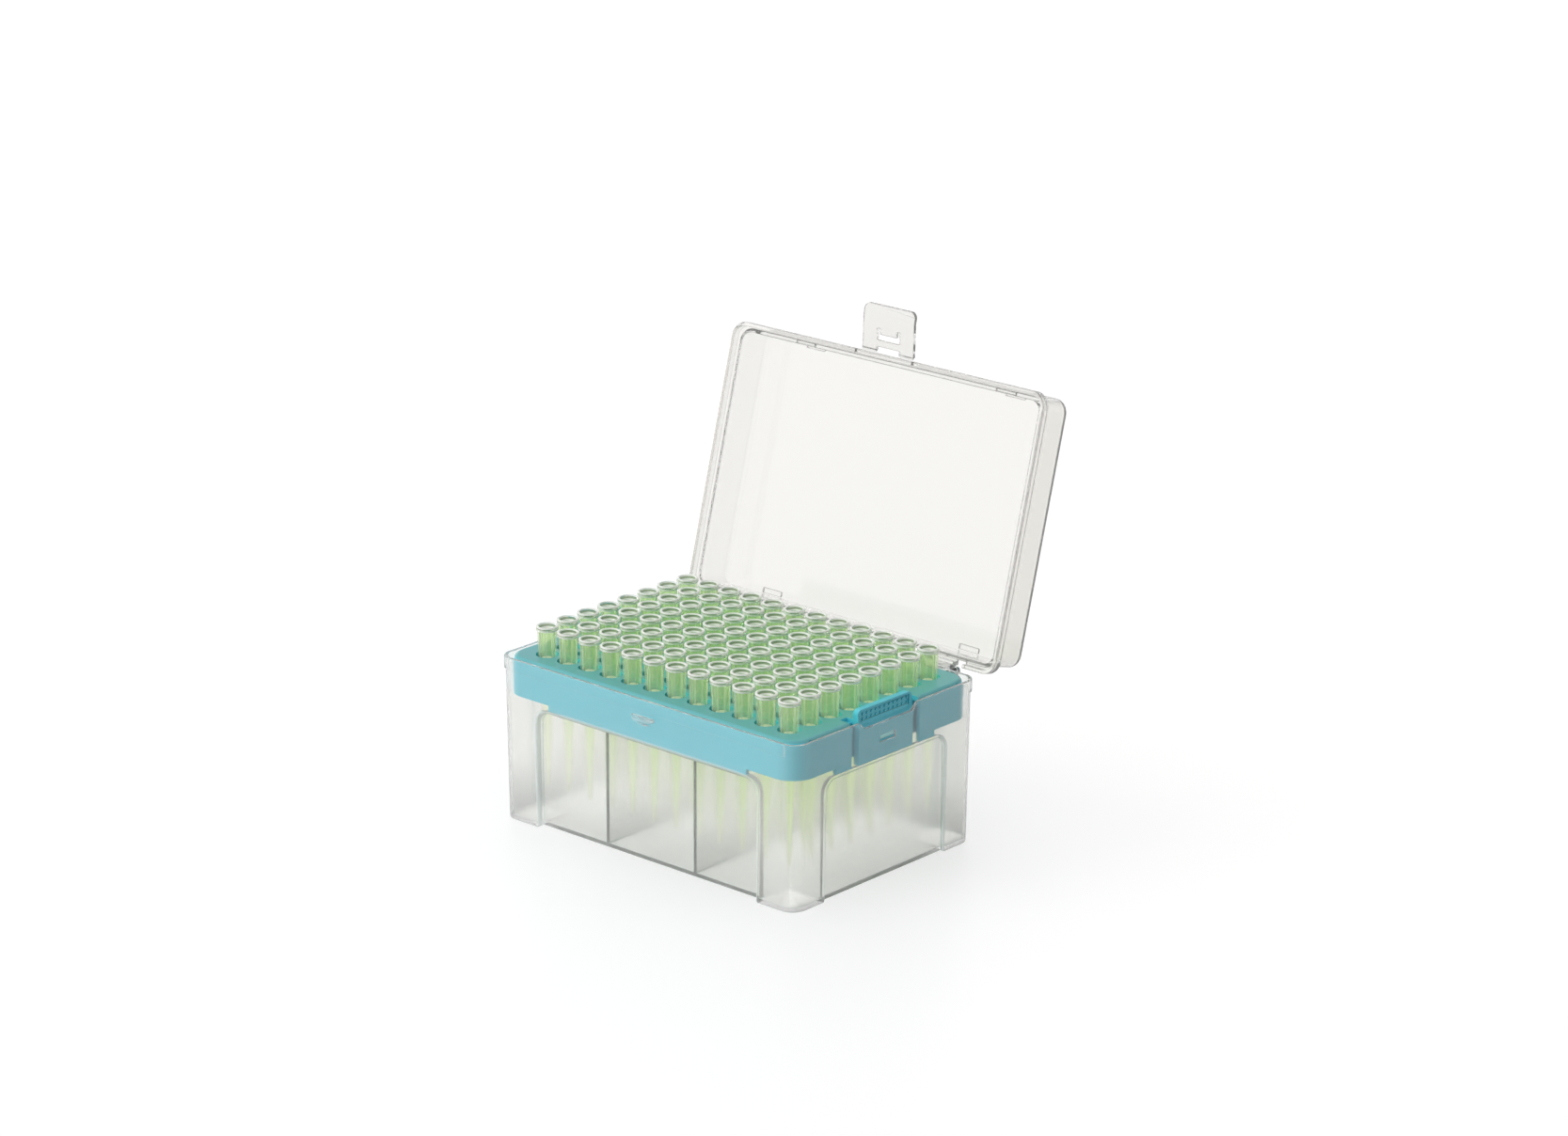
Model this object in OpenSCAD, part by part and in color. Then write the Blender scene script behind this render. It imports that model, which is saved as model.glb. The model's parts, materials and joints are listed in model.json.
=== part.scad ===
// Box of filter pipette tips. A base box holds a tip rack with 96 tips on the
// usual 9 mm grid, each with a filter plug, and a hinged lid with a folding
// latch flap covers them. The lid is drawn standing open.
// The origin is in the middle of the underside. X runs along the long sides,
// the hinge is at +Y, the catch is at -Y and Z is up.

/* [Tip grid] */
// Distance between neighbouring tips, along and across
pitch = 9; // [8.2:0.1:9.1]
// Fineness of round edges
detail = 64; // [32:8:96]

/* [Base box] */
// Length over the rim
rim_l = 122.3; // [121:0.1:160]
// Width over the rim
rim_w = 83.2; // [83:0.1:120]
// Height of the rim above the table
rim_z = 52.7; // [50:0.1:70]
// Height of the thicker band along the rim
band_h = 3.9; // [2:0.1:5]
// How far the band stands proud of the wall
band_out = 0.3; // [0.1:0.05:0.6]
// Lean of the short walls, from the rim to the foot
taper_x = 0.75; // [0.2:0.05:1.2]
// Lean of the long walls, from the rim to the foot
taper_y = 0.3; // [0.1:0.05:1.2]
// Corner radius seen from above
corner_r = 5; // [4:0.1:8]
// Wall thickness
wall = 0.9; // [0.7:0.05:1.2]
// Floor thickness
floor_t = 1.3; // [0.8:0.1:2.5]
// Length of a corner pillar along the long side
pillar_x = 16.45; // [12:0.1:22]
// Length of a corner pillar along the short side
pillar_y = 14.6; // [11:0.1:20]
// Depth of the recessed panel between two pillars of a long side
panel_in_y = 2.5; // [1:0.1:3]
// Depth of the recessed panel between two pillars of a short side
panel_in_x = 1.5; // [0.8:0.1:2.5]
// Corner radius at the top of a recessed panel
arch_r = 4; // [2:0.5:8]
// Gap between the table and the panels, which the pillars' feet stand through
foot_h = 0.35; // [0.2:0.05:1]
// Thickness of the two inner ribs
rib_t = 1; // [0.6:0.1:1.5]

/* [Catch and notches of the base] */
// Half width of the finger notch at the rim
notch_top = 13.5; // [11:0.1:15]
// Half width of the finger notch at its bottom
notch_low = 10.4; // [8:0.1:10.9]
// Depth of the finger notch below the rim
notch_d = 2.3; // [1:0.1:3.5]
// Width of the window that the rack snaps into
window_w = 6.8; // [4:0.1:10]
// Height of that window
window_h = 2.1; // [1.2:0.1:3]
// Distance from the rim down to the window's top edge
window_drop = 6.5; // [5:0.1:7.5]
// Width of the catch nose where it leaves the wall
nose_w = 9.5; // [6:0.1:10]
// Reach of the catch nose from the wall
nose_out = 3; // [2.6:0.1:3.2]
// Thickness of the catch nose at its tip
nose_t = 0.9; // [0.6:0.1:1.2]

/* [Tip rack] */
// Height from the rack's seat in the base to its top face
rack_h = 14.2; // [12:0.1:18]
// Gap between the rack and the base's wall, all round
rack_gap = 0.2; // [0.1:0.05:0.3]
// Corner radius of the rack seen from above
rack_r = 7.2; // [6:0.1:9]
// Radius along the rack's top edge
rack_edge = 1.5; // [0.5:0.1:1.8]
// Thickness of the hole plate
plate_t = 1.8; // [1.2:0.1:2.4]
// Thickness of the skirt
skirt_t = 1.4; // [1:0.1:1.8]
// Length of the corner cut-out of the skirt, along the long side
step_x = 18.95; // [16:0.1:24]
// Length of the corner cut-out of the skirt, along the short side
step_y = 17.7; // [16:0.1:22]
// Height of the skirt's corner cut-out
step_h = 1.9; // [1:0.1:3]
// Diameter of a tip hole
hole_d = 7; // [6.9:0.05:7.1]
// Wall thickness of the sleeve below a tip hole
sleeve_t = 0.6; // [0.4:0.05:0.6]
// Height of the seat ring at the foot of a sleeve
seat_h = 3.4; // [2:0.1:5]
// Diameter of the hole in the seat ring
seat_d = 4.9; // [4.8:0.05:5]

/* [Grip tab of the rack] */
// Width of the grip tab
tab_w = 24.6; // [20:0.1:26]
// Height of the tab above the hole plate
tab_up = 3; // [2:0.1:4]
// Thickness of the tab
tab_t = 2.2; // [1.8:0.1:2.6]
// Radius of the tab's top corners
tab_r = 1.8; // [1:0.1:2.5]
// Width of the slot on each side of the tab
slot_w = 3.1; // [2:0.1:4]
// Depth of the slots into the plate
slot_in = 4.4; // [3:0.1:4.6]
// Columns of grip dots
dot_cols = 11; // [7:2:11]
// Rows of grip dots
dot_rows = 3; // [1:1:3]
// Distance between grip dots along the tab
dot_pitch = 2; // [1.6:0.1:2]
// Distance between rows of grip dots
dot_rise = 1.5; // [1.3:0.1:1.5]
// Diameter of a grip dot
dot_d = 0.8; // [0.5:0.1:1]

/* [Pipette tip] */
// Total length of a tip
tip_l = 52; // [47:0.5:54]
// Height of the mouth above the rack's top face
tip_up = 9.3; // [8:0.1:10]
// Outer diameter of the bead round the mouth
bead_d = 6.9; // [6.6:0.05:7]
// Height of the bead
bead_h = 1.4; // [0.8:0.1:2]
// Chamfer at the top of the bead
bead_edge = 0.2; // [0.1:0.05:0.4]
// Diameter of the mouth
mouth_d = 5.3; // [5:0.05:5.6]
// Depth over which the mouth narrows to the bore
lead_in = 2; // [1:0.1:3]
// Diameter over the collar's fins, just below the bead
collar_d = 6.1; // [5.9:0.05:6.4]
// Diameter over the fins at their lower ends, which the tip stands on
shoulder_d = 5.4; // [5.3:0.05:5.7]
// Number of fins round the collar
fins = 8; // [6:1:12]
// Thickness of a fin
fin_t = 0.35; // [0.25:0.05:0.5]
// Length from the mouth to the lower ends of the fins
collar_l = 16.7; // [14:0.1:19]
// Outer diameter of the body between the fins, just below the bead
body_d = 5; // [4.8:0.05:5.4]
// Outer diameter of the cone at the lower ends of the fins
cone_d = 4.5; // [4.2:0.05:4.7]
// Outer diameter at the tip's end
end_d = 1; // [0.8:0.05:1.5]
// Wall thickness of a tip
tip_wall = 0.4; // [0.3:0.05:0.45]
// Depth of the filter below the mouth
filter_in = 10.4; // [6:0.1:11]
// Length of the filter
filter_l = 4.8; // [3:0.1:6]
// Gap between a filter and the tip's wall
filter_gap = 0.03; // [0.02:0.01:0.1]

/* [Lid] */
// Reach of the lid's flange beyond the base's rim
flange_out = 2.05; // [1.8:0.05:2.6]
// Thickness of the flange
flange_t = 1.2; // [1:0.05:1.4]
// Height of the flange
flange_h = 2.9; // [2.5:0.1:4]
// Overlap of the flange below the rim's top
overlap = 1.9; // [1.5:0.1:2.2]
// Gap between the closed lid and the rim's top
lid_gap = 0.1; // [0.05:0.05:0.3]
// Step in from the flange to the crown
crown_in = 1.8; // [1.5:0.1:1.9]
// Total height of the lid
lid_h = 15.6; // [15:0.1:30]
// Wall thickness of the lid
lid_wall = 1.2; // [0.8:0.1:1.4]
// Corner radius of the crown seen from above
crown_r = 4.6; // [3.5:0.1:6]
// Radius along the crown's top edge
crown_edge = 1.6; // [1.3:0.1:3]
// Length of a stacking lug
lug_l = 7.5; // [4:0.1:10]
// Height of a stacking lug
lug_h = 1; // [0.4:0.1:2]
// Opening angle of the lid as drawn
lid_open = 105; // [0:1:105]

/* [Hinge] */
// Distance from the middle of the box to the middle of a hinge
hinge_x = 39.5; // [34:0.1:44]
// Length of a hinge over its two ears
hinge_l = 20; // [14:0.1:22]
// Distance from the flange to the hinge axis
hinge_out = 1.55; // [1.4:0.05:1.8]
// Distance from the rim's top down to the hinge axis
hinge_drop = 2; // [1.8:0.1:2.2]
// Thickness of an ear
ear_t = 2; // [1.5:0.1:2.5]
// Radius of an ear round the axis
ear_r = 1.7; // [1.5:0.05:1.8]
// Diameter of the hinge pin
pin_d = 2.2; // [1.6:0.1:2.2]
// Gap between the pin and the lid's knuckle
pin_gap = 0.15; // [0.1:0.05:0.25]
// Wall thickness of the knuckle round the pin
knuckle_t = 0.7; // [0.5:0.05:0.8]

/* [Latch flap] */
// Width of the flap
flap_w = 20.7; // [16:0.1:26]
// Length of the flap from its hinge line
flap_l = 14.95; // [12:0.1:16]
// Thickness of the flap
flap_t = 1.1; // [0.8:0.1:1.4]
// Radius of the flap's free corners
flap_r = 2.2; // [1:0.1:4]
// Thickness of the film that the flap folds on
film_t = 0.34; // [0.2:0.02:0.5]
// Distance from the flange to the flap's fold axis
fold_gap = 0.35; // [0.3:0.05:0.5]
// Height of the fold axis above the lid's mouth
fold_up = 0.82; // [0.7:0.02:1]
// Fold angle as drawn, from flat out to 90 for folded down
flap_fold = 13.4; // [0:0.1:90]
// Width of the flap's catch slot
catch_w = 9; // [8.4:0.1:12]
// Gap between the slot's upper edge and the catch nose
catch_gap = 0.3; // [0.2:0.05:0.5]
// Distance from the fold axis down to the slot's upper edge
catch_drop = 3.93; // [3.5:0.01:4.5]
// Width of the springy tongue below the slot
tongue_w = 6.8; // [5:0.1:7]
// Length of the tongue
tongue_l = 1.9; // [1:0.1:2.5]
// Height of the bar between the slot and the window
bar_h = 2.15; // [1.5:0.05:2.5]
// Length of the flap's thicker lip
lip_l = 3.7; // [2:0.1:5]
// Bend of the lip away from the box
lip_out = 0.6; // [0:0.1:1.5]

/* [Hidden] */

// The two counts of the grid belong to the nodes' names
columns = 12;
rows = 8;

// A cut runs this far past the face that it opens
past = 1;
// Two joined solids run this far into each other
bite = 0.3;

// Outline of the base's wall at the rim and at the table
wall_l = rim_l - 2 * band_out;
wall_w = rim_w - 2 * band_out;
foot_l = wall_l - 2 * taper_x;
foot_w = wall_w - 2 * taper_y;

// Half length and half width of the wall's outer face at a height
function wall_x(z) = foot_l / 2 + taper_x * z / rim_z;
function wall_y(z) = foot_w / 2 + taper_y * z / rim_z;

// The rack stands on a ledge that closes the recessed panels at the top
rack_z = rim_z + 0.3;
ledge_z = rack_z - rack_h;
arch_z = ledge_z - wall;
panel_x = wall_x(arch_z) - panel_in_x;
panel_y = wall_y(arch_z) - panel_in_y;
panel_half_l = rim_l / 2 - pillar_x;
panel_half_w = rim_w / 2 - pillar_y;
// The feet end this far beyond the recessed panels
foot_end = 0.7;

// Outline of the rack, from the base's inner faces at the ledge
rack_l = 2 * (wall_x(ledge_z) - wall - rack_gap);
rack_w = 2 * (wall_y(ledge_z) - wall - rack_gap);

// The tips hang by their shoulders on the seat rings
mouth_z = rack_z + tip_up;
seat_z = mouth_z - collar_l;
sleeve_z = seat_z - seat_h;

// The window's top edge and the nib that snaps into it
window_z = rim_z - window_drop;
nib_gap = 0.25;
nib_out = 0.9;

// Closed lid
lid_z = rim_z + lid_gap - overlap;
flange_l = rim_l + 2 * flange_out;
flange_w = rim_w + 2 * flange_out;
crown_l = flange_l - 2 * crown_in;
crown_w = flange_w - 2 * crown_in;
crown_z = lid_z + lid_h;

// Hinge axis, and the play beside an ear and a knuckle
hinge_y = flange_w / 2 + hinge_out;
hinge_z = rim_z - hinge_drop;
bore_r = pin_d / 2 + pin_gap;
knuckle_r = bore_r + knuckle_t;
end_play = 0.3;
ear_play = 1.1;

// Fold axis of the flap on the closed lid, and what lines up with the nose
fold_y = -flange_w / 2 - fold_gap;
fold_z = lid_z + fold_up;
nose_z = fold_z - catch_drop - catch_gap;
slot_top = catch_drop;
slot_low = slot_top + nose_t + 3 * catch_gap;

// Plan of a block with round corners
module plan(l, w, r) {
    square([l - 2 * r, w], center = true);
    square([l, w - 2 * r], center = true);
    for (x = [-1, 1], y = [-1, 1])
        translate([x * (l / 2 - r), y * (w / 2 - r)])
            circle(r, $fn = detail);
}

// Block whose plan grows from the foot to the top
module leaning_block(l0, w0, l1, w1, r, h) {
    hull() {
        linear_extrude(0.01)
            plan(l0, w0, r, $fn = 32);
        translate([0, 0, h - 0.01])
            linear_extrude(0.01)
                plan(l1, w1, r, $fn = 32);
    }
}

// Block with round corners and a round top edge
module soft_block(l, w, r, edge, h) {
    hull()
        for (x = [-1, 1], y = [-1, 1], a = [0 : 15 : 90])
            translate([x * (l / 2 - r), y * (w / 2 - r), 0])
                cylinder(r = r - edge + edge * cos(a), h = h - edge + edge * sin(a), $fn = 48);
}

// Places its children at each of the two short ends, with the end at +X drawn
module both_ends() {
    for (s = [0, 1])
        mirror([s, 0, 0])
            children();
}

// Draws a YZ outline's solid from x, over a length l
module along_x(x, l) {
    translate([x, 0, 0])
        rotate([90, 0, 90])
            linear_extrude(l)
                children();
}

// Turns what is drawn on the closed lid about the hinge axis
module swing() {
    translate([0, hinge_y, hinge_z])
        rotate([-lid_open, 0, 0])
            translate([0, -hinge_y, -hinge_z])
                children();
}

// Places its children at both hinges
module both_hinges() {
    for (s = [-1, 1])
        translate([s * hinge_x, 0, 0])
            children();
}

// ---- Base box ----

// Front outline of a recessed panel, with round top corners
module arch(half, top, r) {
    translate([-half, -past])
        square([2 * half, top - r + past]);
    translate([r - half, -past])
        square([2 * (half - r), top + past]);
    for (x = [-1, 1])
        translate([x * (half - r), top - r])
            circle(r, $fn = detail);
}

// The four recesses between the pillars, grown by the wall for their inner faces
module recesses(grow) {
    for (s = [0, 1])
        mirror([0, s, 0])
            translate([0, grow - panel_y, 0])
                rotate([90, 0, 0])
                    linear_extrude(panel_y)
                        arch(panel_half_l + grow, arch_z + grow, arch_r + grow);
    for (s = [0, 1])
        mirror([s, 0, 0])
            translate([panel_x - grow, 0, 0])
                rotate([90, 0, 90])
                    linear_extrude(panel_x)
                        arch(panel_half_w + grow, arch_z + grow, arch_r + grow);
}

// Space inside the base: full width above the ledge, narrowed by the panels below
module base_cavity() {
    difference() {
        translate([0, 0, floor_t])
            leaning_block(
                2 * (wall_x(floor_t) - wall), 2 * (wall_y(floor_t) - wall),
                2 * (wall_x(rim_z + past) - wall), 2 * (wall_y(rim_z + past) - wall),
                corner_r - wall, rim_z + past - floor_t);
        recesses(wall);
    }
}

// Gap under the panels, which leaves a foot at each pillar
module foot_gap() {
    half_x = panel_half_l + foot_end;
    half_y = panel_half_w + foot_end;
    translate([-half_x, -rim_w, -past])
        cube([2 * half_x, 2 * rim_w, past + foot_h]);
    translate([-rim_l, -half_y, -past])
        cube([2 * rim_l, 2 * half_y, past + foot_h]);
}

// Finger notch in the rim, with S-shaped shoulders
module notch_outline() {
    steps = 10;
    bottom = rim_z - notch_d;
    shoulder = [
        for (i = [0 : steps])
            let (t = i / steps)
                [notch_low + (notch_top - notch_low) * t, bottom + notch_d * t * t * (3 - 2 * t)]
    ];
    other = [for (i = [steps : -1 : 0]) [-shoulder[i][0], shoulder[i][1]]];
    polygon(concat(
        shoulder, [[notch_top, rim_z + past], [-notch_top, rim_z + past]], other));
}

// Catch nose: a round shelf with a sloping underside
module catch_nose() {
    face = wall_y(nose_z);
    r = (nose_w * nose_w / 4 + nose_out * nose_out) / (2 * nose_out);
    slope = 1.6;
    low = nose_z - nose_t - slope - past;
    intersection() {
        translate([0, r - face - nose_out, nose_z - nose_t - slope])
            union() {
                cylinder(r1 = r - nose_out, r2 = r, h = slope, $fn = detail);
                translate([0, 0, slope])
                    cylinder(r = r, h = nose_t, $fn = detail);
            }
        translate([-nose_w, -face - 2 * nose_out, low])
            cube([2 * nose_w, 2 * nose_out + bite, nose_z + past - low]);
    }
}

// Side view of a hinge ear with its gusset down the wall
module ear_outline() {
    root = wall_y(hinge_z) - bite;
    tangent = ear_r * sin(45);
    translate([hinge_y, hinge_z])
        circle(ear_r, $fn = detail);
    polygon([
        [root, hinge_z + ear_r],
        [hinge_y, hinge_z + ear_r],
        [hinge_y + tangent, hinge_z - tangent],
        [root, hinge_z - 2 * tangent - (hinge_y - root)]
    ]);
}

// Two ears with the pin between them
module hinge_ears() {
    for (s = [0, 1])
        mirror([s, 0, 0])
            along_x(hinge_l / 2 - ear_t, ear_t)
                ear_outline();
    translate([bite - hinge_l / 2, hinge_y, hinge_z])
        rotate([0, 90, 0])
            cylinder(d = pin_d, h = hinge_l - 2 * bite, $fn = detail);
}

module base_box() {
    color("gainsboro") {
        difference() {
            union() {
                leaning_block(foot_l, foot_w, wall_l, wall_w, corner_r, rim_z);
                translate([0, 0, rim_z - band_h])
                    linear_extrude(band_h)
                        plan(rim_l, rim_w, corner_r);
            }
            base_cavity();
            recesses(0);
            foot_gap();
            both_ends() {
                along_x(panel_x, rim_l)
                    notch_outline();
                translate([panel_x, -window_w / 2, window_z - window_h])
                    cube([rim_l, window_w, window_h]);
            }
        }
        for (x = [-2, 2] * pitch)
            translate([x - rib_t / 2, wall - panel_y - bite, floor_t - bite])
                cube([rib_t, 2 * (panel_y - wall + bite), arch_z - floor_t + bite]);
        catch_nose();
        both_hinges()
            hinge_ears();
    }
}

// ---- Tip rack ----

// Places its children at every tip of the grid
module on_grid() {
    for (c = [1 : columns], r = [1 : rows])
        translate([(c - (columns + 1) / 2) * pitch, (r - (rows + 1) / 2) * pitch, 0])
            children();
}

// Hole of one tip: wide through the plate and the sleeve, narrow in the seat ring
module tip_hole() {
    rotate_extrude($fn = detail)
        polygon([
            [0, sleeve_z - past], [seat_d / 2, sleeve_z - past], [seat_d / 2, seat_z],
            [hole_d / 2, seat_z], [hole_d / 2, rack_z + past], [0, rack_z + past]
        ]);
}

// Hole plate with its skirt, which is cut out at the corners
module rack_shell() {
    difference() {
        translate([0, 0, ledge_z])
            soft_block(rack_l, rack_w, rack_r, rack_edge, rack_h);
        translate([0, 0, ledge_z - past])
            linear_extrude(rack_h - plate_t + past)
                plan(rack_l - 2 * skirt_t, rack_w - 2 * skirt_t, rack_r - skirt_t);
        for (x = [0, 1], y = [0, 1])
            mirror([x, 0, 0])
                mirror([0, y, 0])
                    translate([rack_l / 2 - step_x, rack_w / 2 - step_y, ledge_z - past])
                        cube([rack_l, rack_w, step_h + past]);
    }
}

// End view of the grip tab, down to the rack's seat
module tab_outline() {
    h = rack_h + tab_up;
    translate([-tab_w / 2, ledge_z])
        square([tab_w, h - tab_r]);
    translate([tab_r - tab_w / 2, ledge_z])
        square([tab_w - 2 * tab_r, h]);
    for (y = [-1, 1])
        translate([y * (tab_w / 2 - tab_r), ledge_z + h - tab_r])
            circle(tab_r, $fn = detail);
}

// Grip tab with a sunk field of dots, and the nib that snaps into the base
module grip_tab() {
    sunk = 0.4;
    frame = 0.8;
    field_h = (dot_rows - 1) * dot_rise + 2 * frame;
    field_z = rack_z + tab_up - frame - field_h;
    field_w = (dot_cols - 1) * dot_pitch + 2 * frame;
    difference() {
        along_x(rack_l / 2 - tab_t, tab_t)
            tab_outline();
        translate([rack_l / 2 - sunk, -field_w / 2, field_z])
            cube([tab_t, field_w, field_h]);
    }
    for (c = [0 : dot_cols - 1], r = [0 : dot_rows - 1])
        translate([
                rack_l / 2 - sunk - bite,
                (c - (dot_cols - 1) / 2) * dot_pitch,
                field_z + frame + r * dot_rise])
            rotate([0, 90, 0])
                cylinder(d = dot_d, h = sunk + bite, $fn = 24);
    translate([0, window_w / 2 - nib_gap, 0])
        rotate([90, 0, 0])
            linear_extrude(window_w - 2 * nib_gap)
                polygon([
                    [rack_l / 2 - bite, window_z - nib_gap],
                    [rack_l / 2 + nib_out, window_z - nib_gap],
                    [rack_l / 2 + nib_out, window_z - window_h / 2],
                    [rack_l / 2, window_z - window_h + nib_gap],
                    [rack_l / 2 - bite, window_z - window_h + nib_gap]
                ]);
}

module tip_rack() {
    color("lightblue")
        difference() {
            union() {
                rack_shell();
                translate([0, 0, sleeve_z])
                    linear_extrude(rack_z - plate_t / 2 - sleeve_z)
                        on_grid()
                            circle(hole_d / 2 + sleeve_t, $fn = detail);
                both_ends()
                    grip_tab();
            }
            on_grid()
                tip_hole();
            both_ends()
                for (y = [tab_w / 2, -tab_w / 2 - slot_w])
                    translate([rack_l / 2 - slot_in, y, ledge_z - past])
                        cube([rack_l, slot_w, rack_h + 2 * past]);
        }
}

// ---- Tips and filters ----

// Outer and inner radius of the body at a depth between the bead and the fins' ends
function body_r(d) = (body_d + (cone_d - body_d) * d / collar_l) / 2;
function bore_at(d) = body_r(d) - tip_wall;

// Places its children at the tips of one column
module in_column(n) {
    for (r = [1 : rows])
        translate([(n - (columns + 1) / 2) * pitch, (r - (rows + 1) / 2) * pitch, mouth_z])
            children();
}

// Body of a tip, with its mouth at height 0 and its end pointing down
module tip_body() {
    neck = bead_h + bead_edge;
    rotate_extrude($fn = detail)
        polygon([
            [mouth_d / 2, 0], [bead_d / 2 - bead_edge, 0], [bead_d / 2, -bead_edge],
            [bead_d / 2, -bead_h], [body_r(neck), -neck], [cone_d / 2, -collar_l],
            [end_d / 2, -tip_l], [end_d / 4, -tip_l],
            [bore_at(collar_l), -collar_l], [bore_at(lead_in), -lead_in]
        ]);
}

// Fins along the collar, rooted in the middle of the body's wall
module collar_fins() {
    root = tip_wall / 2;
    top = bead_h - bead_edge;
    for (i = [1 : fins])
        rotate([90, 0, i * 360 / fins])
            translate([0, 0, -fin_t / 2])
                linear_extrude(fin_t)
                    polygon([
                        [body_r(top) - root, -top], [collar_d / 2, -top],
                        [shoulder_d / 2, -collar_l], [body_r(collar_l) - root, -collar_l]
                    ]);
}

// One tip
module tip() {
    tip_body();
    collar_fins();
}

// One filter plug, which follows the bore
module filter_plug() {
    translate([0, 0, -filter_in - filter_l])
        cylinder(
            r1 = bore_at(filter_in + filter_l) - filter_gap,
            r2 = bore_at(filter_in) - filter_gap, h = filter_l, $fn = detail);
}

module tips_column(n) {
    color("mediumseagreen")
        in_column(n)
            tip();
}

module filters_column(n) {
    color("whitesmoke")
        in_column(n)
            filter_plug();
}

// ---- Lid ----

// Closed lid's knuckle: a clip-on sleeve round the pin, on a web to the flange
module knuckle() {
    l = hinge_l - 2 * (ear_t + end_play);
    snap_w = 0.8 * pin_d;
    difference() {
        union() {
            translate([-l / 2, hinge_y, hinge_z])
                rotate([0, 90, 0])
                    cylinder(r = knuckle_r, h = l, $fn = detail);
            translate([-l / 2, flange_w / 2 - bite, lid_z])
                cube([l, hinge_out + bite, hinge_z + knuckle_r - lid_z]);
        }
        translate([-l / 2 - past, hinge_y, hinge_z])
            rotate([0, 90, 0])
                cylinder(r = bore_r, h = l + 2 * past, $fn = detail);
        translate([-l / 2 - past, hinge_y - snap_w / 2, hinge_z - 2 * knuckle_r])
            cube([l + 2 * past, snap_w, 2 * knuckle_r]);
    }
}

// Gaps in the rear flange for the ears of one hinge
module ear_notches() {
    for (s = [0, 1])
        mirror([s, 0, 0])
            translate([hinge_l / 2 - ear_t - end_play, crown_w / 2, lid_z - past])
                cube([ear_t + end_play + ear_play, flange_w, flange_h + 2 * past]);
}

// Small gaps in the front flange, one on each side of the flap
module flap_notches() {
    gap_w = 2.2;
    for (s = [0, 1])
        mirror([s, 0, 0])
            translate([flap_w / 2, -flange_w, lid_z - past])
                cube([gap_w, (flange_w + rim_w) / 2, past + fold_up + film_t]);
}

// Stacking lugs on the crown, which the panels of the next box's base drop over
module stacking_lugs() {
    play = 0.3;
    for (x = [0, 1], y = [0, 1])
        mirror([x, 0, 0])
            mirror([0, y, 0])
                translate([panel_half_l - play - lug_l, panel_y + play, crown_z - crown_edge])
                    cube([lug_l, panel_in_y - 2 * play, crown_edge + lug_h]);
}

module lid() {
    color("aliceblue")
        swing() {
            difference() {
                union() {
                    translate([0, 0, lid_z])
                        linear_extrude(flange_h)
                            plan(flange_l, flange_w, corner_r);
                    translate([0, 0, lid_z])
                        soft_block(crown_l, crown_w, crown_r, crown_edge, lid_h);
                    stacking_lugs();
                }
                translate([0, 0, lid_z - past])
                    linear_extrude(overlap + past)
                        plan(flange_l - 2 * flange_t, flange_w - 2 * flange_t, corner_r - flange_t);
                translate([0, 0, lid_z - past])
                    soft_block(
                        crown_l - 2 * lid_wall, crown_w - 2 * lid_wall, crown_r - lid_wall,
                        crown_edge - lid_wall, lid_h + past - lid_wall);
                both_hinges()
                    ear_notches();
                flap_notches();
            }
            both_hinges()
                knuckle();
        }
}

// ---- Latch flap ----

// The flap seen flat, from its fold line at 0 down to its free end
module flap_outline() {
    difference() {
        union() {
            translate([-flap_w / 2, flap_r - flap_l])
                square([flap_w, flap_l - flap_r]);
            translate([flap_r - flap_w / 2, -flap_l])
                square([flap_w - 2 * flap_r, flap_l]);
            for (x = [-1, 1])
                translate([x * (flap_w / 2 - flap_r), flap_r - flap_l])
                    circle(flap_r, $fn = detail);
        }
        // Window at the fold line
        translate([-catch_w / 2, bar_h - slot_top])
            square([catch_w, slot_top]);
        // Slot for the catch nose, with the tongue left between its two prongs
        difference() {
            translate([-catch_w / 2, -slot_low - tongue_l])
                square([catch_w, slot_low - slot_top + tongue_l]);
            translate([-tongue_w / 2, -slot_low - tongue_l - past])
                square([tongue_w, tongue_l + past]);
        }
    }
}

// Side view of the flap: a thin film at the fold, a plate and a bent lip
module flap_side() {
    bend = flap_l - lip_l;
    root = 0.8;
    polygon([
        [0, 0], [-bend, 0], [-flap_l, lip_out], [-flap_l, lip_out + flap_t + 0.2],
        [-bend, flap_t], [-root, flap_t], [film_t - root, film_t], [0, film_t]
    ]);
}

module latch_flap() {
    color("aliceblue")
        swing()
            translate([0, fold_y, fold_z])
                rotate([flap_fold, 0, 0])
                    translate([0, 0, -film_t / 2])
                        intersection() {
                            linear_extrude(3 * flap_t)
                                flap_outline();
                            along_x(-flap_w / 2 - past, flap_w + 2 * past)
                                flap_side();
                        }
}

base_box();
tip_rack();
lid();
latch_flap();
tips_column(1);  // tips_column_01
tips_column(2);  // tips_column_02
tips_column(3);  // tips_column_03
tips_column(4);  // tips_column_04
tips_column(5);  // tips_column_05
tips_column(6);  // tips_column_06
tips_column(7);  // tips_column_07
tips_column(8);  // tips_column_08
tips_column(9);  // tips_column_09
tips_column(10);  // tips_column_10
tips_column(11);  // tips_column_11
tips_column(12);  // tips_column_12
filters_column(1);  // filters_column_01
filters_column(2);  // filters_column_02
filters_column(3);  // filters_column_03
filters_column(4);  // filters_column_04
filters_column(5);  // filters_column_05
filters_column(6);  // filters_column_06
filters_column(7);  // filters_column_07
filters_column(8);  // filters_column_08
filters_column(9);  // filters_column_09
filters_column(10);  // filters_column_10
filters_column(11);  // filters_column_11
filters_column(12);  // filters_column_12
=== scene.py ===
"""Looks of a hinged box of filter pipette tips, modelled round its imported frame."""

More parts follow.
